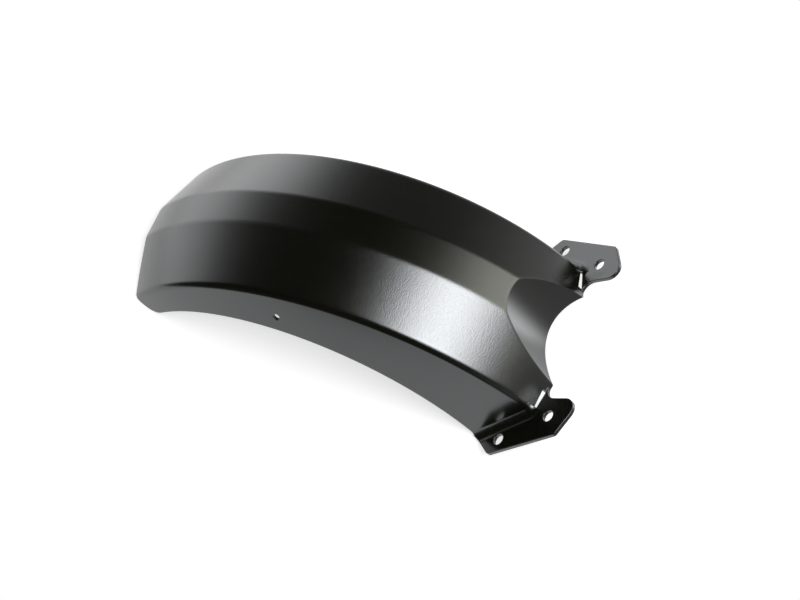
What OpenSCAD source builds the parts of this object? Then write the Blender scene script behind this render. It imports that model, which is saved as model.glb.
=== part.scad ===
// One-piece moulded fender for a small wheel: a faceted crown with splayed side walls,
// an air scoop dished into its front end, and two bolt ears that stand almost square to it.
// It rests on its four lower corners, with the ears towards +X.
//
// The form is worked out in the wheel's own frame: the wheel turns about the Y axis, the ears
// stand at X = 0, +Z is radial there, and the crown wraps back from them.

/* [Crown] */
// Radius from the wheel's axis to the middle facet
crown_r = 230.5; // [215:0.5:260]
// Angle that the crown wraps, from the tail edge to the ears
wrap = 100; // [80:1:110]
// Width of the middle facet
facet_w = 28; // [16:1:40]
// Slope of the two side facets
facet_slope = 18; // [12:1:24]
// Width over the shoulders, where the lines of side facet and wall meet
shoulder_w = 124; // [112:1:140]
// Outside radius of the shoulders
shoulder_r = 7.5; // [6:0.5:9]
// Thickness of the moulded skin
skin = 2.5; // [1.8:0.1:3.2]

/* [Side walls] */
// Outward splay of the walls from the wheel's plane
wall_splay = 22; // [14:1:28]
// Radius of the walls' lower edge
edge_r = 182.5; // [176:0.5:190]
// How far the centre of that edge lies off the wheel's axis, which deepens the walls forwards
edge_shift = 20; // [10:1:26]
// Rake of the tail edge, which carries the walls further back than the middle facet
tail_rake = 34; // [0:1:38]
// Radius of the walls' tail corner
tail_corner_r = 24; // [14:1:26]
// Diameter of the small hole in the near wall
wall_hole_d = 5.2; // [3:0.1:7]
// Angle from the ears back to that hole
wall_hole_back = 58; // [30:1:75]
// Radial distance of that hole below the shoulder
wall_hole_drop = 19; // [14:0.5:24]

/* [Scoop] */
// Length of the scoop, from its start on the crown to the ears
scoop_len = 65.5; // [50:0.5:80]
// Radius of the scoop's dished floor
scoop_r = 75.5; // [70:0.5:90]
// Angle by which the floor dips below the tangent at the ears
scoop_dip = 7.5; // [5:0.5:10]
// Depth of the rounded bite in the scoop's open end
mouth_depth = 12; // [6:0.5:18]
// Radius of that bite
mouth_r = 61; // [56:0.5:70]

/* [Ears] */
// Thickness of the ears
ear_t = 3; // [2.5:0.1:4.5]
// Forward lean of the ears, about the line through the two shoulders
ear_lean = 2; // [0:0.5:5]
// Inside radius of the bend between wall and ear
bend_r = 8; // [6:0.5:10]
// Lower outer corner of an ear, out from the shoulder
low_out = 34; // [28:0.5:38]
// Lower outer corner of an ear, below the shoulder
low_drop = 32; // [26:0.5:38]
// Upper outer corner of an ear, out from the shoulder
top_out = 18.5; // [16:0.5:23]
// Upper outer corner of an ear, above the shoulder
top_rise = 26.5; // [23:0.5:29]
// Slope of an ear's upper edge, which climbs inwards to the crest
crest_slope = 28; // [20:1:32]
// Radius of the crest
crest_r = 9; // [6:0.5:10]
// Inner edge of an ear, in from the shoulder
inner_in = 10; // [9.5:0.5:13]
// Foot of an ear's inner edge, in from the shoulder
neck_in = 11.5; // [10:0.5:14]
// Radius of the neck between an ear's inner edge and the crown
neck_r = 9; // [5:0.5:11]
// Radius of an ear's outer corners
corner_r = 3.5; // [2:0.5:5]
// Width of the relief slit at its inner end
slit_w_in = 3.2; // [2:0.1:4]
// Width of the relief slit at the shoulder
slit_w_out = 1.5; // [1:0.1:3]
// Length of the relief slit, in from the shoulder's rounding
slit_len = 14; // [10:0.5:16]

/* [Bolt holes] */
// Diameter of the four bolt holes
bolt_d = 9; // [6:0.1:10]
// Upper bolt hole, out from the shoulder
bolt_top_out = 3.5; // [1:0.5:6]
// Upper bolt hole, above the shoulder
bolt_top_rise = 15.5; // [14:0.5:20]
// Lower bolt hole, out from the shoulder
bolt_low_out = 22; // [19:0.5:24]
// Lower bolt hole, below the shoulder
bolt_low_drop = 25.5; // [20:0.5:28]

/* [Hidden] */
$fn = 96;
arc_steps = 8;       // straight steps in each small rounding
margin = 4;          // how far a cut runs past the skin
lap = 10;            // degrees that the crown runs past the ears and the tail before it is trimmed
deep_r = 140;        // radius well inside the walls' lower edge
ease = 0.05;         // overlap of two arcs that would otherwise only touch
let_in = 0.4;        // how deep a rounding is let into the surface that it runs out on
heel_drop = 1;       // how far below the walls' edge the ears' lower edge aims
neck_reach = 0.85;   // how far in the neck runs, as a share of its radius
half_w = shoulder_w / 2;
half_turn = (facet_slope + 90 - wall_splay) / 2;
half_bend = (90 - wall_splay - facet_slope) / 2;
shoulder_z = crown_r - (half_w - facet_w / 2) * tan(facet_slope);
shoulder_c = [half_w, shoulder_z] - shoulder_r / cos(half_bend) * [sin(half_turn), cos(half_turn)];

// Distance from the middle to the outside of a wall, and to the height of a side facet there
function wall_y(r) = half_w + (shoulder_z - r) * tan(wall_splay);
function facet_z(y) = crown_r - (y - facet_w / 2) * tan(facet_slope);

// Points on an arc; angles run from the second axis towards the first
function arc(c, r, a0, a1) =
    [for (i = [0:arc_steps]) let (a = a0 + (a1 - a0) * i / arc_steps) c + r * [sin(a), cos(a)]];

function flip(p) = [for (q = p) [-q[0], q[1]]];
function back(p) = [for (i = [len(p) - 1:-1:0]) p[i]];

// One side of the crown's section at a depth below its surface, from the middle to the wall's foot
function half_section(depth) = concat(
    [[facet_w / 2 - depth * tan(facet_slope / 2), crown_r - depth]],
    arc(shoulder_c, shoulder_r - depth, facet_slope, 90 - wall_splay),
    [[wall_y(deep_r) - depth / cos(wall_splay), deep_r]]);

// The corner at b between a and c, rounded to radius r
function unit(v) = v / norm(v);
function corner(a, b, c, r) =
    let (u = unit(a - b), v = unit(c - b), half = acos(u * v) / 2,
         mid = b + unit(u + v) * r / sin(half),
         p = b + u * r / tan(half) - mid, q = b + v * r / tan(half) - mid,
         from = atan2(p[1], p[0]), turn = (atan2(q[1], q[0]) - from + 540) % 360 - 180)
    [for (i = [0:arc_steps]) let (t = from + turn * i / arc_steps) mid + r * [cos(t), sin(t)]];

// The walls' lower edge is an arc about edge_c, [x, z]; the ears' lower edges run out from foot, [y, z]
edge_c = -edge_shift * [cos(wrap / 2), sin(wrap / 2)];
foot_z = edge_c[1] + sqrt(edge_r * edge_r - edge_c[0] * edge_c[0]) - heel_drop;
foot = [wall_y(foot_z), foot_z];

// Corners of an ear, [y, z]
low = [half_w + low_out, shoulder_z - low_drop];
top = [half_w + top_out, shoulder_z + top_rise];
crest = [half_w - inner_in, top[1] + (top_out + inner_in) * tan(crest_slope)];
neck = [half_w - neck_in, facet_z(half_w - neck_in) - let_in];
tip_y = half_w - neck_in - neck_reach * neck_r;
tip = [tip_y, facet_z(tip_y) - let_in];
ear_outline = concat(
    corner(foot, low, top, corner_r),
    corner(low, top, crest, corner_r),
    corner(top, crest, neck, crest_r),
    corner(crest, neck, tip, neck_r));
ear_top = max([for (p = ear_outline) p[1]]);

// Seen from the side the tail edge is a straight line down from tail_top, [x, z]
tail_top = crown_r * [-sin(wrap), cos(wrap)];
tail_up = [-sin(wrap - tail_rake), cos(wrap - tail_rake)];
tail_fore = [cos(wrap - tail_rake), sin(wrap - tail_rake)];

// The tail corner's rounding is an arc about tail_c, tangent to the tail and lower edges
tail_reach = tail_top + tail_corner_r * tail_fore - edge_c;
tail_drop = tail_reach * tail_up
    - sqrt(pow(edge_r + tail_corner_r - ease, 2) - pow(tail_reach * tail_fore, 2));
tail_end = tail_top - tail_drop * tail_up;
tail_c = tail_end + tail_corner_r * tail_fore;
tail_start = tail_c + tail_corner_r * unit(edge_c - tail_c);

// The bend's rear hollow is round about bend_c and its front about nose_c, [x, distance from wall]
bend_c = [-ear_t / 2 - bend_r, bend_r - let_in];
nose_r = bend_r + skin;
nose_c = [ear_t / 2 - nose_r, bend_r - let_in];

// The part stands on its tail corners and on the lowest spots of the two bends
foot_slope = atan2(low[1] - foot[1], low[0] - foot[0]);
foot_gain = sin(foot_slope) / cos(foot_slope - wall_splay);
function lean(p) = [0, shoulder_z] + p[0] * [cos(ear_lean), -sin(ear_lean)]
    + (p[1] - shoulder_z) * [sin(ear_lean), cos(ear_lean)];
function spot(t) =
    lean([nose_c[0] + nose_r * sin(t), foot_z + foot_gain * (nose_c[1] - nose_r * cos(t))]);
function stand_on(p) = let (d = p - tail_c) atan2(d[1], d[0]) + asin(tail_corner_r / norm(d));
function lowest(tilt) = spot(atan2(sin(tilt + ear_lean), foot_gain * cos(tilt + ear_lean)));
stand = stand_on(lowest(stand_on(spot(45))));
table_z = tail_c[1] * cos(stand) - tail_c[0] * sin(stand) - tail_corner_r;
rear_x = -crown_r * sin(wrap - stand);
fore = lean([ear_t / 2, ear_top]);
fore_x = fore[0] * cos(stand) + fore[1] * sin(stand);

// A profile [y, r] revolved about the wheel's axis, over the crown's wrap
module wrapped(profile) {
    rotate([90, 0, 0]) rotate([0, 0, 90 - lap])
        rotate_extrude(angle = wrap + 2 * lap) polygon([for (p = profile) [p[1], p[0]]]);
}

// A flat shape [x, z], carried right across the part
module across() {
    rotate([90, 0, 0]) linear_extrude(4 * low[0], center = true) children();
}

// What is worked out on upright ears, leaned with them
module leaned() {
    translate([0, 0, shoulder_z]) rotate([0, ear_lean, 0]) translate([0, 0, -shoulder_z]) children();
}

// The crown and side walls, with nothing cut from them
module crown() {
    outside = half_section(0);
    inside = half_section(skin);
    wrapped(concat(outside, back(inside), flip(inside), flip(back(outside))));
}

// A round bar along the scoop's floor, lowered from the crown by the scoop's dip
module scoop_round(r) {
    translate([-scoop_len, 0, sqrt(crown_r * crown_r - scoop_len * scoop_len)])
        rotate([0, 90 + scoop_dip, 0]) translate([-scoop_r, 0, -margin])
            cylinder(r = r, h = 2 * scoop_len);
}

// The dished floor under the scoop, as thick as the skin
module scoop_floor() {
    outside = half_section(0);
    intersection() {
        wrapped(concat(outside, flip(back(outside))));
        difference() {
            scoop_round(scoop_r + skin);
            scoop_round(scoop_r);
        }
    }
}

// A section [x, distance from wall] carried up the wall beside an ear and round the shoulder
module swept(section) {
    top_z = shoulder_c[1] + shoulder_r * sin(wall_splay);
    run = (top_z - deep_r) / cos(wall_splay);
    translate([0, wall_y(top_z), top_z]) rotate([wall_splay, 0, 0]) translate([0, 0, -run])
        linear_extrude(run) polygon(section);
    translate([0, shoulder_c[0], shoulder_c[1]]) rotate([90, 0, 90]) rotate([0, 0, wall_splay])
        rotate_extrude(angle = 90 - wall_splay - facet_slope)
            polygon([for (p = section) [shoulder_r + p[1], p[0]]]);
}

// The hollow fillet between wall and ear, cut off in line with the ear's lower edge
module bend() {
    along = unit(low - foot);
    way = 2 * bend_r * along;
    under = edge_r * [along[1], -along[0]];
    difference() {
        swept(concat([[bend_c[0], -skin / 2], [0, -skin / 2], [0, bend_c[1]]], arc(bend_c, bend_r, 90, 180)));
        translate([-2 * bend_r, 0, 0]) rotate([90, 0, 90]) linear_extrude(4 * bend_r)
            polygon([foot - way, low + way, low + way + under, foot - way + under]);
    }
}

// The flat ear, which reaches into half the skin along the wall, shoulder and crown
module ear() {
    inside = skin / 2;
    translate([-ear_t / 2, 0, 0]) rotate([90, 0, 90]) linear_extrude(ear_t) polygon(concat(
        [foot - skin * unit(low - foot)],
        ear_outline,
        [[tip_y, facet_z(tip_y) - inside / cos(facet_slope)]],
        arc(shoulder_c, shoulder_r - inside, facet_slope, 90 - wall_splay)));
}

// What rounds off the front of the bend, inside the fender
module nose_cut() {
    swept(concat(
        arc(nose_c, nose_r, 180, 90),
        [[ear_t + margin, nose_c[1]], [ear_t + margin, -shoulder_r], [nose_c[0], -shoulder_r]]));
}

// The slit that frees the crown's corner from the ear, and the gap that it leaves under the ear
module slit() {
    out_y = shoulder_c[0] + shoulder_r * sin(facet_slope);
    in_y = out_y - slit_len;
    translate([-ear_t / 2, 0, shoulder_c[1]]) linear_extrude(crown_r - shoulder_c[1])
        polygon([[0, in_y], [-slit_w_in, in_y], [-slit_w_out, out_y], [0, out_y]]);
    translate([-ear_t / 2 - ease, 0, 0]) rotate([90, 0, 90]) linear_extrude(2 * ear_t)
        polygon([[in_y, foot_z], [out_y, foot_z], [out_y, facet_z(out_y) + let_in], [in_y, facet_z(in_y) + let_in]]);
}

module bolt_holes() {
    for (at = [[bolt_top_out, bolt_top_rise], [bolt_low_out, -bolt_low_drop]])
        translate([0, half_w + at[0], shoulder_z + at[1]]) rotate([0, 90, 0])
            cylinder(d = bolt_d, h = ear_t + 2 * margin, center = true);
}

module wall_hole() {
    r = shoulder_z - wall_hole_drop;
    rotate([0, -wall_hole_back, 0]) translate([0, -wall_y(r), r]) rotate([90 - wall_splay, 0, 0])
        cylinder(d = wall_hole_d, h = 4 * skin, center = true);
}

// What the tail corner's rounding takes off the walls
module tail_cut() {
    above = tail_top + 4 * margin * tail_up;
    inward = tail_start - 4 * margin * unit(tail_start);
    beyond = inward - crown_r * [cos(wrap), sin(wrap)];
    across() difference() {
        polygon([above, tail_end, tail_c, tail_start, inward, beyond]);
        translate(tail_c) circle(r = tail_corner_r);
    }
}

// The moulding before its edges, mouth and holes are cut
module blank() {
    difference() {
        crown();
        scoop_round(scoop_r);
    }
    scoop_floor();
    leaned() both_sides() {
        bend();
        ear();
    }
}

// The blank cut to its lower edge, tail corners and front face
module trimmed() {
    difference() {
        union() blank();
        across() translate(edge_c) circle(r = edge_r);
        tail_cut();
        leaned() translate([ear_t / 2, -2 * low[0], 0]) cube([edge_r, 4 * low[0], 2 * crown_r]);
    }
}

module mouth_cut() {
    translate([mouth_r - mouth_depth, 0, foot_z])
        cylinder(r = mouth_r, h = crown_r - foot_z + margin);
}

module both_sides() {
    for (side = [0, 1]) mirror([0, side, 0]) children();
}

module fender() {
    color("#1c1c1e") translate([-(rear_x + fore_x) / 2, 0, -table_z]) rotate([0, stand, 0])
        difference() {
            difference() {
                difference() {
                    trimmed();
                    mouth_cut();
                }
                leaned() both_sides() nose_cut();
            }
            leaned() both_sides() {
                slit();
                bolt_holes();
            }
            wall_hole();
        }
}

fender();
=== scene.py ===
"""Looks of a black moulded motorcycle fender: one piece, on a white floor.

The moulding is worked out from the model's own measures, with finer curves and exact normals for its gloss.
It is built in millimetres in the wheel's frame: the wheel turns about the Y axis, the ears stand at X = 0,
+Z is radial there, and the crown wraps back from them. STANDING then sets it down in the part's frame.
"""
import math

import bmesh
import bpy
import numpy as np
from mathutils import Matrix, Vector


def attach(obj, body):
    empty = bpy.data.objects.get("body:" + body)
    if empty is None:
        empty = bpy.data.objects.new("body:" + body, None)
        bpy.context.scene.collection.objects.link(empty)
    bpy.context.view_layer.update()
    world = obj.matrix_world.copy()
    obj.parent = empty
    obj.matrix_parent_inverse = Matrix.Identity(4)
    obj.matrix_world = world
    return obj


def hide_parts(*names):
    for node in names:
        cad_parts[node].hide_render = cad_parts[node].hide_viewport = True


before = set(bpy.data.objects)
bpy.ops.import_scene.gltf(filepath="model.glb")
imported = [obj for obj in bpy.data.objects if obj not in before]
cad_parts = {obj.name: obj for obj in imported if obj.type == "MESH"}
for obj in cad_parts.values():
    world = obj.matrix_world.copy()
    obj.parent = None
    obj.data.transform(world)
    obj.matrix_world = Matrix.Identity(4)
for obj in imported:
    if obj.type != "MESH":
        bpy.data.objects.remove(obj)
scene = bpy.context.scene
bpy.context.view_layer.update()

# The photograph's camera, in metres in the part's frame
IMAGE = (800, 600)
FOCAL_PX = 1247.86
SENSOR_MM = 36.0
EYE = Vector((0.204248, -0.406822, 0.880032))
RIGHT = Vector((0.937357, 0.347357, -0.026531))
DOWN = Vector((0.298071, -0.839110, -0.455025))
CLIP = (0.05, 50.0)

# What the gloss mirrors. The horizon's stops run over the height of a direction, from 0 to 1.
HORIZON = [(0.0, 1.0), (0.105, 1.0), (0.21, 0.8), (0.29, 0.4), (0.41, 0.18), (0.56, 0.04), (1.0, 0.0)]
# Where the horizon is bright: start, end and strength of each smooth rise along one axis
DARKEST = 0.02
LEFT_WINDOW = (0.35, 0.7, 1.7)
LEFT_WINDOW_BACK = (-0.3, 0.1, 1.0)
RIGHT_WINDOW = (0.2, 0.9, 0.3)
BACK_WINDOW = (0.3, 0.9, 0.3)
# Glows: azimuth and elevation in degrees, spread and radiance
KEY_GLOW = (112, 58, 0.050, 15.0)
BACK_GLOW = (62, 33, 0.075, 3.0)
LOW_GLOW = (48, -22, 0.03, 3.4)
GLOW_FALL = 1.5
BACK_TINT = (1.0, 0.99, 0.86)
WHITE = (1.0, 1.0, 1.0, 1.0)
FILL_GREY = (0.35, 0.35, 0.35, 1.0)

# Lamps: azimuth, elevation and width seen from the part in degrees, and radiance; lengths in metres
KEY_BOX = (112, 60, 30, 5.0)
BACK_BOX = (60, 32, 24, 1.5)
BACK_BOX_COLOUR = (1.0, 0.97, 0.92)
LAMP_DISTANCE = 1.5
LAMP_AIM = Vector((0, 0, 0.05))

# The white sheet under the part, in metres
FLOOR_R = 0.31
FLOOR_CENTRE = (-0.03, -0.005)
PAPER_WHITE = (0.8, 0.8, 0.8, 1.0)
PAPER_GLOW = 0.62

# The crown, in millimetres and degrees
CROWN_R = 230.5
WRAP = 100.0
FACET_W = 28.0       # of the middle facet
FACET_SLOPE = 18.0   # of the two side facets
CREASE_R = 12.0      # of the soft creases beside the middle facet
SHOULDER_W = 124.0   # where the lines of side facets and walls meet
SHOULDER_R = 7.5
SKIN = 2.5

# The side walls, their lower edge, the tail edge and the small hole in the near wall
WALL_SPLAY = 22.0
EDGE_R = 182.5
EDGE_SHIFT = 20.0    # of the lower edge's centre off the wheel's axis
TAIL_RAKE = 34.0
TAIL_CORNER_R = 24.0
WALL_HOLE_D = 5.2
WALL_HOLE_BACK = 58.0   # degrees back from the ears
WALL_HOLE_DROP = 19.0   # below the shoulder

# The scoop and its mouth
SCOOP_LEN = 65.5
SCOOP_R = 75.5
SCOOP_DIP = 7.5
MOUTH_DEPTH = 12.0
MOUTH_R = 61.0

# The ears: corners are measured out from and above the shoulder, the inner edge in from it
EAR_T = 3.0
EAR_LEAN = 2.0
BEND_R = 8.0
LOW_OUT = 34.0
LOW_DROP = 32.0
TOP_OUT = 18.5
TOP_RISE = 26.5
CREST_SLOPE = 28.0
CREST_R = 9.0
INNER_IN = 10.0
NECK_IN = 11.5
NECK_R = 9.0
CORNER_R = 3.5
SLIT_W_IN = 3.2
SLIT_W_OUT = 1.5
SLIT_LEN = 14.0
BOLT_D = 9.0
BOLT_PLACES = ((3.5, 15.5), (22.0, -25.5))

# How the fender stands: its turn about the wheel's axis, and its box once turned
STAND = 45.1443
REAR_X = -188.481
FORE_X = 179.735
TABLE_Z = 119.337

# How cuts and joins reach past or into each other, as in the model
LAP = 10.0          # degrees that the crown runs past the ears and the tail before it is trimmed
DEEP_R = 140.0      # radius well inside the walls' lower edge
LET_IN = 0.4        # how deep a rounding is let into the surface that it runs out on
MARGIN = 4.0        # how far a cut runs past the skin
EASE = 0.05         # what keeps two faces or arcs from only touching
HEEL_DROP = 1.0     # how far below the walls' edge the ears' lower edge aims
NECK_REACH = 0.85   # how far in the neck runs, as a share of its radius

# How finely the curves are divided
WRAP_STEPS = 120
ROUND_STEPS = 360
MOUTH_STEPS = 256
FLOOR_STEPS = 96
BOLT_STEPS = 48
WALL_HOLE_STEPS = 40
TAIL_CORNER_STEPS = 24
BEND_TURN_STEPS = 16
BEND_STEPS = 14
WALL_STEPS = 13
SHOULDER_STEPS = 12
CORNER_STEPS = 10
FACET_STEPS = 7
CREASE_STEPS = 6

# The plastic's finish, in metres in the part's frame. Pits and peaks are heights of the grain, with colours:
# the grain's own dark tone, plus painted sparkle, a lighter colour on the peaks than in the pits that stands
# in for the grain's glints.
GRAIN_SCALE = 1000.0
GRAIN_DEPTH = 0.00013
PLAIN_GRAIN = 0.06               # share of the grain's relief on the walls, scoop and ears
PATCH_SCALE = 22.0               # of the broad, slight changes in gloss
EDGE_ROUNDING = 0.0010
SHOULDER_FADE = (0.056, 0.063)   # from the middle plane
SCOOP_FADE = (0.0002, 0.0012)    # outside the dish's radius
PITS = (0.3, (0.0030, 0.0034, 0.0016))
SPARKLE_PEAKS = (0.7, (0.0085, 0.0090, 0.0050))
SHEEN_TINT = (0.94, 0.97, 1.0, 1.0)
PLAIN_ROUGHNESS = 0.18
PATCH_ROUGHNESS = 0.04
CROWN_ROUGHNESS = 0.06
GRAIN_GLOSS = 0.08

# Welding and shading
MM = 0.001         # a millimetre in metres
WELD = 2e-6        # metres between vertices that are made one
SHARP = 32         # degrees between faces from which an edge is sharp
ON_SURFACE = 0.05  # millimetres that a corner may lie off an exact surface
SAME_WAY = 4       # degrees that a face may lean from its normal


def photo_camera():
    """The photograph's viewpoint. The camera's own axes are right, up and backwards."""
    data = bpy.data.cameras.new("photo_camera")
    data.sensor_width = SENSOR_MM
    data.lens = FOCAL_PX * data.sensor_width / IMAGE[0]
    data.clip_start, data.clip_end = CLIP
    camera = bpy.data.objects.new("photo_camera", data)
    scene.collection.objects.link(camera)
    turn = Matrix((RIGHT, -DOWN, RIGHT.cross(-DOWN))).transposed()
    camera.matrix_world = Matrix.Translation(EYE) @ turn.to_4x4()
    scene.camera = camera


class Wire:
    """A shader socket in a tree; the operators on it add Math nodes."""

    def __init__(self, tree, socket):
        self.tree, self.socket = tree, socket

    def math(self, operation, *values):
        return Graph.node(self.tree, "ShaderNodeMath", {"operation": operation}, dict(enumerate(values)))

    def __add__(self, other):
        return self.math("ADD", self, other)

    def __radd__(self, other):
        return self.math("ADD", other, self)

    def __sub__(self, other):
        return self.math("SUBTRACT", self, other)

    def __rsub__(self, other):
        return self.math("SUBTRACT", other, self)

    def __mul__(self, other):
        return self.math("MULTIPLY", self, other)

    def __rmul__(self, other):
        return self.math("MULTIPLY", other, self)

    def __truediv__(self, other):
        return self.math("DIVIDE", self, other)

    def __rtruediv__(self, other):
        return self.math("DIVIDE", other, self)

    def __pow__(self, other):
        return self.math("POWER", self, other)

    def __rpow__(self, other):
        return self.math("POWER", other, self)

    def most(self, other):
        return self.math("MAXIMUM", self, other)


class Graph:
    """A node tree emptied for writing."""

    def __init__(self, tree):
        self.tree = tree
        tree.nodes.clear()

    @staticmethod
    def node(tree, kind, settings=None, inputs=None, out=0):
        """Adds one node: its settings first, then its sockets' values or links; gives back one output."""
        made = tree.nodes.new(kind)
        for name, value in (settings or {}).items():
            if name == "stops":
                Graph.fill_ramp(made.color_ramp, value)
            else:
                setattr(made, name, value)
        for name, value in (inputs or {}).items():
            socket = made.inputs[name]
            if isinstance(value, Wire):
                tree.links.new(value.socket, socket)
            else:
                socket.default_value = value
        return Wire(tree, made.outputs[out])

    @staticmethod
    def fill_ramp(ramp, stops):
        """Stops are (place, grey) or (place, colour)."""
        while len(ramp.elements) > 1:
            ramp.elements.remove(ramp.elements[-1])
        for i, (place, colour) in enumerate(stops):
            stop = ramp.elements[0] if i == 0 else ramp.elements.new(place)
            stop.position = place
            stop.color = (*colour, 1.0) if isinstance(colour, tuple) else (colour, colour, colour, 1.0)

    def add(self, kind, settings=None, inputs=None, out=0):
        return self.node(self.tree, kind, settings, inputs, out)

    def vector(self, operation, a, b, out="Vector"):
        return self.add("ShaderNodeVectorMath", {"operation": operation}, {0: a, 1: b}, out)

    def rise(self, value, start, end, strength=1.0):
        """Rises smoothly from 0 at the start to its strength at the end."""
        return self.add("ShaderNodeMapRange", {"interpolation_type": "SMOOTHSTEP"}, {
            "Value": value, "From Min": start, "From Max": end, "To Min": 0.0, "To Max": strength})

    def ray(self, kind):
        """1 on the rays of one kind, such as Is Camera Ray."""
        return self.add("ShaderNodeLightPath", out=kind)

    def seen(self):
        """1 on the rays that look at the background: camera, mirror and glass rays."""
        return self.ray("Is Camera Ray").most(self.ray("Is Glossy Ray")).most(self.ray("Is Transmission Ray"))

    def end(self, kind, shader):
        """The tree's output node, fed by a shader."""
        output = self.tree.nodes.new(kind)
        self.tree.links.new(shader.socket, output.inputs["Surface"])


def new_graph(name):
    material = bpy.data.materials.new(name)
    material.use_nodes = True
    return material, Graph(material.node_tree)


def toward(azimuth, elevation):
    """Unit vector; azimuth 0 is +Y and 90 is +X, in degrees."""
    a, e = math.radians(azimuth), math.radians(elevation)
    return Vector((math.sin(a) * math.cos(e), math.cos(a) * math.cos(e), math.sin(e)))


def studio_world():
    """White to the camera and grey to soft light. The gloss mirrors a bright horizon, which fades upwards and
    is strongest on the left, and three glows."""
    world = bpy.data.worlds.new("studio")
    scene.world = world
    world.use_nodes = True
    g = Graph(world.node_tree)
    direction = g.add("ShaderNodeTexCoord", out="Generated")
    across, away, height = (
        g.add("ShaderNodeSeparateXYZ", inputs={"Vector": direction}, out=axis) for axis in "XYZ")

    def glow(azimuth, elevation, spread, radiance):
        """Falls off from its middle as exp(-((1 - cos angle) / spread) ** GLOW_FALL)."""
        facing = g.vector("DOT_PRODUCT", direction, toward(azimuth, elevation), out="Value")
        return facing.math("EXPONENT", 0 - ((1 - facing) / spread).most(0) ** GLOW_FALL) * radiance

    def tinted(strength, colour):
        return g.add("ShaderNodeVectorMath", {"operation": "SCALE"}, {0: colour, "Scale": strength})

    left = g.rise(0 - across, *LEFT_WINDOW) * g.rise(away, *LEFT_WINDOW_BACK)
    windows = DARKEST + left + g.rise(across, *RIGHT_WINDOW) + g.rise(away, *BACK_WINDOW)
    horizon = g.add("ShaderNodeValToRGB", {"stops": HORIZON}, {"Fac": height}) * windows
    white_sky = tinted(horizon + glow(*KEY_GLOW) + glow(*LOW_GLOW), WHITE[:3])
    mirrored_sky = g.vector("ADD", white_sky, tinted(glow(*BACK_GLOW), BACK_TINT))
    light = g.add("ShaderNodeMix", {"data_type": "RGBA"},
                  {"Factor": g.ray("Is Glossy Ray"), 6: FILL_GREY, 7: mirrored_sky}, out=2)
    colour = g.add("ShaderNodeMix", {"data_type": "RGBA"},
                   {"Factor": g.ray("Is Camera Ray"), 6: light, 7: WHITE}, out=2)
    g.end("ShaderNodeOutputWorld", g.add("ShaderNodeBackground", inputs={"Color": colour, "Strength": 1.0}))


def floor():
    """A plain white round sheet at z = 0, with its rim at centre + radius * (cos t, sin t). The white
    background goes on beyond it."""
    t = np.linspace(0, 2 * np.pi, FLOOR_STEPS, endpoint=False)
    rim = np.stack([FLOOR_CENTRE[0] + FLOOR_R * np.cos(t), FLOOR_CENTRE[1] + FLOOR_R * np.sin(t), 0 * t], -1)
    mesh = bpy.data.meshes.new("floor")
    mesh.from_pydata(rim.tolist(), [], [tuple(range(FLOOR_STEPS))])
    sheet = bpy.data.objects.new("floor", mesh)
    scene.collection.objects.link(sheet)
    material, g = new_graph("white_floor")
    paper = g.add("ShaderNodeBsdfDiffuse", inputs={"Color": PAPER_WHITE})
    lit = g.add("ShaderNodeEmission", inputs={"Color": WHITE, "Strength": g.seen() * PAPER_GLOW})
    g.end("ShaderNodeOutputMaterial", g.add("ShaderNodeAddShader", inputs={0: paper, 1: lit}))
    mesh.materials.append(material)


def lamp(name, azimuth, elevation, across, radiance, colour=WHITE[:3]):
    """A round soft box that looks across degrees wide from the part and shines at it."""
    data = bpy.data.lights.new(name, "AREA")
    data.shape = "DISK"
    data.size = 2 * LAMP_DISTANCE * math.tan(math.radians(across / 2))
    area = math.pi / 4 * data.size**2
    data.energy = radiance * area * math.pi
    data.color = colour
    box = bpy.data.objects.new(name, data)
    scene.collection.objects.link(box)
    box.location = toward(azimuth, elevation) * LAMP_DISTANCE + LAMP_AIM
    box.rotation_mode = "QUATERNION"
    box.rotation_quaternion = toward(azimuth, elevation).to_track_quat("Z", "Y")
    box.visible_glossy = False


def sin(t):
    return np.sin(np.radians(t))


def cos(t):
    return np.cos(np.radians(t))


def tan(t):
    return np.tan(np.radians(t))


def unit(v):
    return np.asarray(v, float) / np.linalg.norm(v)


HALF_W = SHOULDER_W / 2
SHOULDER_Z = CROWN_R - (HALF_W - FACET_W / 2) * tan(FACET_SLOPE)
WALL_TURN = 90 - WALL_SPLAY
MID_TURN = (WALL_TURN + FACET_SLOPE) / 2
SHOULDER_C = (np.array([HALF_W, SHOULDER_Z])
              - SHOULDER_R / cos((WALL_TURN - FACET_SLOPE) / 2) * np.array([sin(MID_TURN), cos(MID_TURN)]))


def wall_y(r):
    """Distance of a wall's outside from the middle plane at radius r: a straight line of the wall's splay."""
    return HALF_W + (SHOULDER_Z - r) * tan(WALL_SPLAY)


def facet_z(y):
    """Height of the side facet at distance y from the middle plane: a straight line of the facet's slope."""
    return CROWN_R - (y - FACET_W / 2) * tan(FACET_SLOPE)


def arc(centre, radius, start, end, steps=CORNER_STEPS):
    """Points centre + radius * (sin t, cos t), with t running evenly from start to end."""
    t = np.linspace(start, end, steps + 1)[:, None]
    return np.asarray(centre) + radius * np.hstack([sin(t), cos(t)])


def swept(centre, radius, first, last, steps):
    """Points centre + radius * (cos t, sin t) from one direction to the other, the shorter way round."""
    start = math.atan2(first[1], first[0])
    turn = (math.atan2(last[1], last[0]) - start + 3 * math.pi) % (2 * math.pi) - math.pi
    t = start + turn * np.linspace(0, 1, steps + 1)[:, None]
    return centre + radius * np.hstack([np.cos(t), np.sin(t)])


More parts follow.
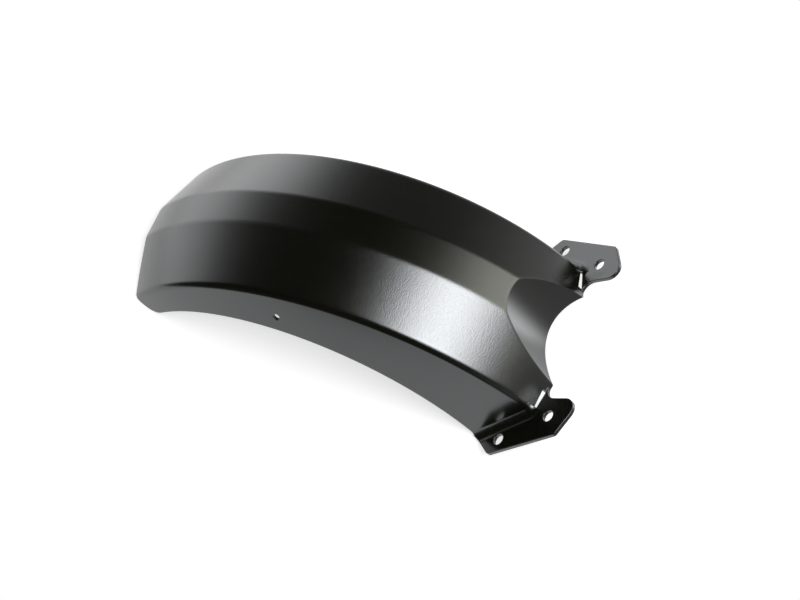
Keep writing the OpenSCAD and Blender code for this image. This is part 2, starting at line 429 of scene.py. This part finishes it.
def rounded(a, b, c, radius, steps=CORNER_STEPS):
    """The corner at b between a and c as an arc that touches both sides: its centre is on the bisector,
    radius / sin(half the corner's angle) away, and it touches radius / tan(half the angle) from b."""
    a, b, c = (np.asarray(p, float) for p in (a, b, c))
    u, v = unit(a - b), unit(c - b)
    half = math.acos(float(u @ v)) / 2
    centre = b + unit(u + v) * radius / math.sin(half)
    touch_a = b + u * radius / math.tan(half) - centre
    touch_c = b + v * radius / math.tan(half) - centre
    return swept(centre, radius, touch_a, touch_c, steps)


def half_section(depth):
    """Half the crown's section at a depth under its outside: middle facet, soft crease, side facet, round
    shoulder and wall."""
    crease = np.array([FACET_W / 2 - depth * tan(FACET_SLOPE / 2), CROWN_R - depth])
    shoulder = arc(SHOULDER_C, SHOULDER_R - depth, FACET_SLOPE, WALL_TURN, SHOULDER_STEPS)
    soft = rounded((0, crease[1]), crease, shoulder[0], CREASE_R - depth, CREASE_STEPS)
    foot = [wall_y(DEEP_R) - depth / cos(WALL_SPLAY), DEEP_R]
    facet = np.linspace(soft[-1], shoulder[0], FACET_STEPS + 1)[1:-1]
    wall = np.linspace(shoulder[-1], foot, WALL_STEPS + 1)[1:]
    return np.vstack([soft, facet, shoulder, wall])


def whole_section(depth):
    """The section from one wall's foot over the crown to the other's."""
    half = half_section(depth)
    return np.vstack([(half * [-1, 1])[::-1], half])


def solid(name, rings):
    """A closed body from a stack of equal rings, (rings, points, 3): quads between neighbours and a face on
    each end."""
    rings = np.asarray(rings, float)
    count, size = rings.shape[:2]
    i, j = np.meshgrid(np.arange(count - 1), np.arange(size), indexing="ij")
    k = (j + 1) % size
    quads = np.stack([i * size + j, i * size + k, (i + 1) * size + k, (i + 1) * size + j], -1).reshape(-1, 4)
    ends = [list(range(size))[::-1], list(range((count - 1) * size, count * size))]
    mesh = bpy.data.meshes.new(name)
    mesh.from_pydata(rings.reshape(-1, 3).tolist(), [], quads.tolist() + ends)
    body = bpy.data.objects.new(name, mesh)
    scene.collection.objects.link(body)
    b = bmesh.new()
    b.from_mesh(mesh)
    bmesh.ops.recalc_face_normals(b, faces=b.faces)
    b.to_mesh(mesh)
    b.free()
    return body


def wrapped(name, section):
    """A section (y, r) turned about the wheel's axis: (-r sin t, y, r cos t), with t from before the ears to
    past the tail."""
    t = np.linspace(-LAP, WRAP + LAP, WRAP_STEPS + 1)[:, None]
    y, r = np.asarray(section).T
    return solid(name, np.stack([-r * sin(t), np.broadcast_to(y, (len(t), len(y))), r * cos(t)], -1))


def extruded(name, outline, axis, start, end):
    """A flat outline carried straight along axis 0, 1 or 2; its coordinates go to the other two in order."""
    outline = np.asarray(outline, float)
    rings = np.zeros((2, len(outline), 3))
    rings[..., [n for n in range(3) if n != axis]] = outline
    rings[0, :, axis], rings[1, :, axis] = start, end
    return solid(name, rings)


def circle(centre, radius, steps=ROUND_STEPS):
    """Points centre + radius * (cos t, sin t) all round."""
    t = np.arange(steps)[:, None] * 360 / steps
    return np.asarray(centre) + radius * np.hstack([cos(t), sin(t)])


def bar(name, start, axis, down, side, radius, length, steps=ROUND_STEPS):
    """A round bar: start + radius * (cos t * down + sin t * side), carried a length along its axis."""
    t = np.arange(steps)[:, None] * 360 / steps
    ring = np.asarray(start) + radius * (cos(t) * np.asarray(down) + sin(t) * np.asarray(side))
    return solid(name, [ring, ring + length * np.asarray(axis)])


def combined(piece, tool, operation="DIFFERENCE"):
    """The piece after a Boolean with the tool, which is used up."""
    cut = piece.modifiers.new("cut", "BOOLEAN")
    cut.solver, cut.operation, cut.object = "MANIFOLD", operation, tool
    mesh = bpy.data.meshes.new_from_object(piece.evaluated_get(bpy.context.evaluated_depsgraph_get()))
    piece.modifiers.clear()
    old, piece.data = piece.data, mesh
    bpy.data.meshes.remove(old)
    used = tool.data
    bpy.data.objects.remove(tool)
    bpy.data.meshes.remove(used)
    return piece


def moved(piece, matrix):
    piece.data.transform(matrix)
    return piece


def flipped(piece):
    """The same body on the other side of the middle plane."""
    piece.data.transform(Matrix.Scale(-1, 4, (0, 1, 0)))
    piece.data.flip_normals()
    return piece


def about_y(angle):
    return Matrix.Rotation(math.radians(angle), 4, "Y")


LEANED = Matrix.Translation((0, 0, SHOULDER_Z)) @ about_y(EAR_LEAN) @ Matrix.Translation((0, 0, -SHOULDER_Z))
STANDING = Matrix.Scale(MM, 4) @ Matrix.Translation((-(REAR_X + FORE_X) / 2, 0, -TABLE_Z)) @ about_y(STAND)


def both_sides(make, *sizes):
    """One body as made and one on the other side, both leaned as the ears are."""
    return [moved(make(*sizes), LEANED), moved(flipped(make(*sizes)), LEANED)]


def scoop_axis():
    """A point and the direction of the scoop's axis, which dips towards the ears. The point lies the scoop's
    radius above its start on the crown, and a margin before it."""
    axis = np.array([cos(SCOOP_DIP), 0, -sin(SCOOP_DIP)])
    down = np.array([-sin(SCOOP_DIP), 0, -cos(SCOOP_DIP)])
    start = np.array([-SCOOP_LEN, 0, math.sqrt(CROWN_R**2 - SCOOP_LEN**2)])
    return start - SCOOP_R * down - MARGIN * axis, axis


def scoop_bar(radius):
    """A round bar along the scoop's axis."""
    start, axis = scoop_axis()
    return bar("scoop_bar", start, axis, np.cross(axis, (0, 1, 0)), (0, 1, 0), radius, 2 * SCOOP_LEN)


def scoop_skin():
    """What the dish's own skin adds under the crown: a bar a skin wider, kept just inside the crown."""
    return combined(scoop_bar(SCOOP_R + SKIN), wrapped("under_crown", whole_section(EASE)), "INTERSECT")


# Centre (x, z) of the walls' lower edge, and the ear's corners (y, z): foot, low, top and crest
EDGE_C = -EDGE_SHIFT * np.array([cos(WRAP / 2), sin(WRAP / 2)])
FOOT_Z = EDGE_C[1] + math.sqrt(EDGE_R**2 - EDGE_C[0] ** 2) - HEEL_DROP
FOOT = np.array([wall_y(FOOT_Z), FOOT_Z])
LOW = np.array([HALF_W + LOW_OUT, SHOULDER_Z - LOW_DROP])
TOP = np.array([HALF_W + TOP_OUT, SHOULDER_Z + TOP_RISE])
CREST = np.array([HALF_W - INNER_IN, TOP[1] + (TOP_OUT + INNER_IN) * tan(CREST_SLOPE)])
# Half the width of what is cut right across
ACROSS = 4 * LOW[0]


def along_shoulder(name, section):
    """A section (x, distance out from the wall) carried up the wall and round the shoulder: centre +
    (shoulder's radius + distance) * (sin t, cos t), with t from the wall's turn to the facet's slope."""
    x, out = np.asarray(section).T
    turn = np.concatenate([[WALL_TURN], np.linspace(WALL_TURN, FACET_SLOPE, BEND_TURN_STEPS + 1)])
    drop = (SHOULDER_C[1] + SHOULDER_R * sin(WALL_SPLAY) - DEEP_R) / cos(WALL_SPLAY)
    centre = np.tile(SHOULDER_C, (len(turn), 1))
    centre[0] += drop * np.array([sin(WALL_SPLAY), -cos(WALL_SPLAY)])
    away = np.stack([sin(turn), cos(turn)], -1)
    yz = centre[:, None] + (SHOULDER_R + out)[None, :, None] * away[:, None]
    return solid(name, np.concatenate([np.broadcast_to(x[None, :, None], (*yz.shape[:2], 1)), yz], -1))


def ear():
    """A flat bolt ear whose outline runs from the wall's foot round its corners to the crown."""
    neck_y, tip_y = HALF_W - NECK_IN, HALF_W - NECK_IN - NECK_REACH * NECK_R
    neck, tip = (neck_y, facet_z(neck_y) - LET_IN), (tip_y, facet_z(tip_y) - LET_IN)
    inside = SKIN / 2
    outline = np.vstack([
        FOOT - SKIN * unit(LOW - FOOT),
        rounded(FOOT, LOW, TOP, CORNER_R),
        rounded(LOW, TOP, CREST, CORNER_R),
        rounded(TOP, CREST, neck, CREST_R),
        rounded(CREST, neck, tip, NECK_R),
        [[tip_y, facet_z(tip_y) - inside / cos(FACET_SLOPE)]],
        arc(SHOULDER_C, SHOULDER_R - inside, FACET_SLOPE, WALL_TURN)])
    return extruded("ear", outline, 0, -EAR_T / 2, EAR_T / 2)


def bend():
    """The hollow fillet between wall and ear, cut off in line with the ear's lower edge."""
    centre = (-EAR_T / 2 - BEND_R, BEND_R - LET_IN)
    piece = along_shoulder("bend", np.vstack([
        [(centre[0], -SKIN / 2), (0, -SKIN / 2), (0, centre[1])],
        arc(centre, BEND_R, 90, 180, BEND_STEPS)]))
    way = 2 * BEND_R * unit(LOW - FOOT)
    under = EDGE_R * np.array([way[1], -way[0]]) / np.linalg.norm(way)
    below = [FOOT - way, LOW + way, LOW + way + under, FOOT - way + under]
    return combined(piece, extruded("below", below, 0, -2 * BEND_R, 2 * BEND_R))


def nose_cut():
    """What rounds the front of the bend off, inside the fender."""
    radius = BEND_R + SKIN
    centre = (EAR_T / 2 - radius, BEND_R - LET_IN)
    front = EAR_T + MARGIN
    return along_shoulder("nose_cut", np.vstack([
        arc(centre, radius, 180, 90, BEND_STEPS),
        [(front, centre[1]), (front, -SHOULDER_R), (centre[0], -SHOULDER_R)]]))


# The slit's two ends, as distances from the middle plane
SLIT_OUTER = SHOULDER_C[0] + SHOULDER_R * sin(FACET_SLOPE)
SLIT_INNER = SLIT_OUTER - SLIT_LEN


def slit():
    """The slit that frees the crown's corner from the ear, narrower at the shoulder."""
    rear = -EAR_T / 2
    outline = [
        (rear, SLIT_INNER), (rear - SLIT_W_IN, SLIT_INNER),
        (rear - SLIT_W_OUT, SLIT_OUTER), (rear, SLIT_OUTER)]
    return extruded("slit", outline, 2, SHOULDER_C[1], CROWN_R)


def slit_gap():
    """The gap that the slit leaves under the ear, up to the crown's outside."""
    outline = [
        (SLIT_INNER, FOOT_Z), (SLIT_OUTER, FOOT_Z),
        (SLIT_OUTER, facet_z(SLIT_OUTER) + LET_IN), (SLIT_INNER, facet_z(SLIT_INNER) + LET_IN)]
    return extruded("slit_gap", outline, 0, -EAR_T / 2 - EASE, 1.5 * EAR_T - EASE)


def bolt_drill(out, up):
    """What drills one hole of an ear, out from and above the shoulder."""
    ring = circle((HALF_W + out, SHOULDER_Z + up), BOLT_D / 2, BOLT_STEPS)
    return extruded("bolt", ring, 0, -EAR_T / 2 - MARGIN, EAR_T / 2 + MARGIN)


def wall_drill():
    """What drills the small hole square through the near wall."""
    r = SHOULDER_Z - WALL_HOLE_DROP
    out = np.array([0, -cos(WALL_SPLAY), sin(WALL_SPLAY)])
    along = np.array([0, sin(WALL_SPLAY), cos(WALL_SPLAY)])
    start = np.array([0, -wall_y(r), r]) - 2 * SKIN * out
    drill = bar("drill", start, out, along, (1, 0, 0), WALL_HOLE_D / 2, 4 * SKIN, WALL_HOLE_STEPS)
    return moved(drill, about_y(-WALL_HOLE_BACK))


def tail_cut():
    """What the raked tail edge and its corner's rounding take off, as an outline (x, z) carried right across.
    The rounding's centre lies a corner's radius before the tail edge and as far outside the lower edge."""
    top = CROWN_R * np.array([-sin(WRAP), cos(WRAP)])
    up = np.array([-sin(WRAP - TAIL_RAKE), cos(WRAP - TAIL_RAKE)])
    fore = np.array([cos(WRAP - TAIL_RAKE), sin(WRAP - TAIL_RAKE)])
    reach = top + TAIL_CORNER_R * fore - EDGE_C
    drop = reach @ up - math.sqrt((EDGE_R + TAIL_CORNER_R - EASE) ** 2 - (reach @ fore) ** 2)
    centre = top - drop * up + TAIL_CORNER_R * fore
    toward_edge = unit(EDGE_C - centre)
    start = centre + TAIL_CORNER_R * toward_edge
    inward = start - 4 * MARGIN * unit(start)
    beyond = inward - CROWN_R * np.array([cos(WRAP), sin(WRAP)])
    corner = swept(centre, TAIL_CORNER_R, -fore, toward_edge, TAIL_CORNER_STEPS)
    outline = np.vstack([top + 4 * MARGIN * up, corner, inward, beyond])
    return extruded("tail_cut", outline, 1, -ACROSS, ACROSS)


def edge_cut():
    """What the walls' lower edge takes off: a round bar across the wheel."""
    return extruded("lower_edge", circle(EDGE_C, EDGE_R), 1, -ACROSS, ACROSS)


def front_cut():
    """What lies before the ears' front faces."""
    block = [(-ACROSS, 0), (ACROSS, 0), (ACROSS, 2 * CROWN_R), (-ACROSS, 2 * CROWN_R)]
    return moved(extruded("front", block, 0, EAR_T / 2, EAR_T / 2 + EDGE_R), LEANED)


def mouth_cut():
    """The rounded bite in the scoop's open end."""
    bite = circle((MOUTH_R - MOUTH_DEPTH, 0), MOUTH_R, MOUTH_STEPS)
    return extruded("mouth", bite, 2, FOOT_Z, CROWN_R + MARGIN)


def moulding():
    """The whole fender: crown, scoop, bends and ears joined, then trimmed, slit and drilled."""
    outside, inside = whole_section(0), whole_section(SKIN)
    piece = wrapped("fender_moulding", np.vstack([outside, inside[::-1]]))
    combined(piece, scoop_skin(), "UNION")
    combined(piece, scoop_bar(SCOOP_R))
    for part in [*both_sides(bend), *both_sides(ear)]:
        combined(piece, part, "UNION")
    for cut in [edge_cut(), tail_cut(), front_cut(), mouth_cut()]:
        combined(piece, cut)
    for cut in [*both_sides(nose_cut), *both_sides(slit), *both_sides(slit_gap)]:
        combined(piece, cut)
    for place in BOLT_PLACES:
        for cut in both_sides(bolt_drill, *place):
            combined(piece, cut)
    return combined(piece, wall_drill())


def black_plastic():
    """Satin black moulded plastic: embossed grain on the crown's outside, and plainer, glossier walls, scoop
    and ears. The grain fades past the shoulders, and within the dish by the distance from the dish's axis.
    The base colour follows the grain on every face: the plastic's dark tone, with painted sparkle that makes
    it lighter on the grain's peaks than in its pits."""
    material, g = new_graph("satin_black_plastic")
    place = g.add("ShaderNodeTexCoord", out="Object")
    start, axis = scoop_axis()
    start, axis = STANDING @ Vector(start), about_y(STAND).to_3x3() @ Vector(axis)
    reach = g.vector("CROSS_PRODUCT", g.vector("SUBTRACT", place, start), axis)
    from_axis = g.vector("LENGTH", reach, (0, 0, 0), out="Value")
    off_scoop = g.rise(from_axis, *(SCOOP_R * MM + fade for fade in SCOOP_FADE))
    either_side = g.vector("ABSOLUTE", place, (0, 0, 0))
    from_middle = g.add("ShaderNodeSeparateXYZ", inputs={"Vector": either_side}, out="Y")
    crown = (1 - g.rise(from_middle, *SHOULDER_FADE)) * off_scoop
    grain = g.add("ShaderNodeTexNoise",
                  inputs={"Vector": place, "Scale": GRAIN_SCALE, "Detail": 2.0, "Roughness": 0.6})
    patch = g.add("ShaderNodeTexNoise", inputs={"Vector": place, "Scale": PATCH_SCALE, "Detail": 3.0})
    relief = grain * (PLAIN_GRAIN + crown * (1 - PLAIN_GRAIN))
    soft_edge = g.add("ShaderNodeBevel", {"samples": 6}, {"Radius": EDGE_ROUNDING})
    normal = g.add("ShaderNodeBump", inputs={
        "Strength": 1.0, "Distance": GRAIN_DEPTH, "Height": relief, "Normal": soft_edge})
    # Painted sparkle: the base colour is lighter on the grain's peaks and darker in its pits, on top of the
    # plastic's own dark tone
    grain_tone_with_painted_sparkle = g.add("ShaderNodeValToRGB", {"stops": [PITS, SPARKLE_PEAKS]}, {"Fac": grain})
    roughness = PLAIN_ROUGHNESS + patch * PATCH_ROUGHNESS + crown * (CROWN_ROUGHNESS - grain * GRAIN_GLOSS)
    shader = g.add("ShaderNodeBsdfPrincipled", inputs={
        "Base Color": grain_tone_with_painted_sparkle, "Roughness": roughness, "Normal": normal,
        "IOR": 1.5, "Specular IOR Level": 1.0, "Specular Tint": SHEEN_TINT})
    g.end("ShaderNodeOutputMaterial", shader)
    return material


def crown_normals(p):
    """Height of points over the crown's outside, and its normal there. In the section the nearer arc counts,
    soft crease or shoulder: the height is the distance from its centre less its radius, along an angle kept
    within the arc. The normal is that angle's, turned about the wheel's axis."""
    along, side = np.degrees(np.arctan2(-p[:, 0], p[:, 2])), np.sign(p[:, 1])
    y, r = abs(p[:, 1]), np.hypot(p[:, 0], p[:, 2])
    crease = np.array([FACET_W / 2 - CREASE_R * tan(FACET_SLOPE / 2), CROWN_R - CREASE_R])
    inner = y < (FACET_W / 2 + SHOULDER_C[0]) / 2
    lean_in = np.clip(np.degrees(np.arctan2(y - crease[0], r - crease[1])), 0, FACET_SLOPE)
    lean_out = np.clip(np.degrees(np.arctan2(y - SHOULDER_C[0], r - SHOULDER_C[1])), FACET_SLOPE, WALL_TURN)
    t = np.where(inner, lean_in, lean_out)
    centre = np.where(inner[:, None], crease, SHOULDER_C)
    height = (y - centre[:, 0]) * sin(t) + (r - centre[:, 1]) * cos(t) - np.where(inner, CREASE_R, SHOULDER_R)
    return height, np.stack([-sin(along) * cos(t), side * sin(t), cos(along) * cos(t)], -1)


def dish_normals(p):
    """Distance of points outside the scoop's dish, along the radius from its axis, and the radius's way."""
    start, axis = scoop_axis()
    off = p - start
    off -= (off @ axis)[:, None] * axis
    reach = np.linalg.norm(off, axis=1)
    return reach - SCOOP_R, off / reach[:, None]


def true_normals(mesh):
    """Shades the crown and the scoop by their exact surfaces, outside and in. A face takes a surface's
    normals if all its corners lie on that surface and face its way."""
    spot = np.empty(len(mesh.vertices) * 3)
    mesh.vertices.foreach_get("co", spot)
    corner = np.empty(len(mesh.loops), int)
    mesh.loops.foreach_get("vertex_index", corner)
    normal = np.array([n.vector for n in mesh.corner_normals], float)
    owner = np.repeat(np.arange(len(mesh.polygons)), [p.loop_total for p in mesh.polygons])
    home = np.array(STANDING.inverted())
    turn = home[:3, :3] * MM
    p = spot.reshape(-1, 3)[corner] @ home[:3, :3].T + home[:3, 3]
    flat = np.array([p.normal for p in mesh.polygons], float)[owner] @ turn.T
    height, crown_way = crown_normals(p)
    depth, dish_way = dish_normals(p)
    surfaces = [
        (height, crown_way), (height + SKIN, -crown_way),
        (depth, -dish_way), (depth - SKIN, dish_way)]
    for gap, way in surfaces:
        fits = (abs(gap) < ON_SURFACE) & ((way * flat).sum(1) > cos(SAME_WAY))
        whole = np.ones(len(mesh.polygons), bool)
        np.logical_and.at(whole, owner, fits)
        chosen = whole[owner]
        normal[chosen] = way[chosen] @ turn
    mesh.normals_split_custom_set(normal.tolist())


def fender():
    """The moulding stood on its corners, welded and shaded, as the part's one piece."""
    piece = moved(moulding(), STANDING)
    piece.name = piece.data.name = "fender_moulding"
    mesh = piece.data
    b = bmesh.new()
    b.from_mesh(mesh)
    bmesh.ops.remove_doubles(b, verts=b.verts, dist=WELD)
    b.to_mesh(mesh)
    b.free()
    mesh.polygons.foreach_set("use_smooth", np.ones(len(mesh.polygons), bool))
    mesh.set_sharp_from_angle(angle=math.radians(SHARP))
    true_normals(mesh)
    mesh.materials.clear()
    mesh.materials.append(black_plastic())
    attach(piece, "root")
    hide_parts("fender")


photo_camera()
scene.view_settings.view_transform = "Standard"
studio_world()
floor()
lamp("key_box", *KEY_BOX)
lamp("back_box", *BACK_BOX, colour=BACK_BOX_COLOUR)
fender()
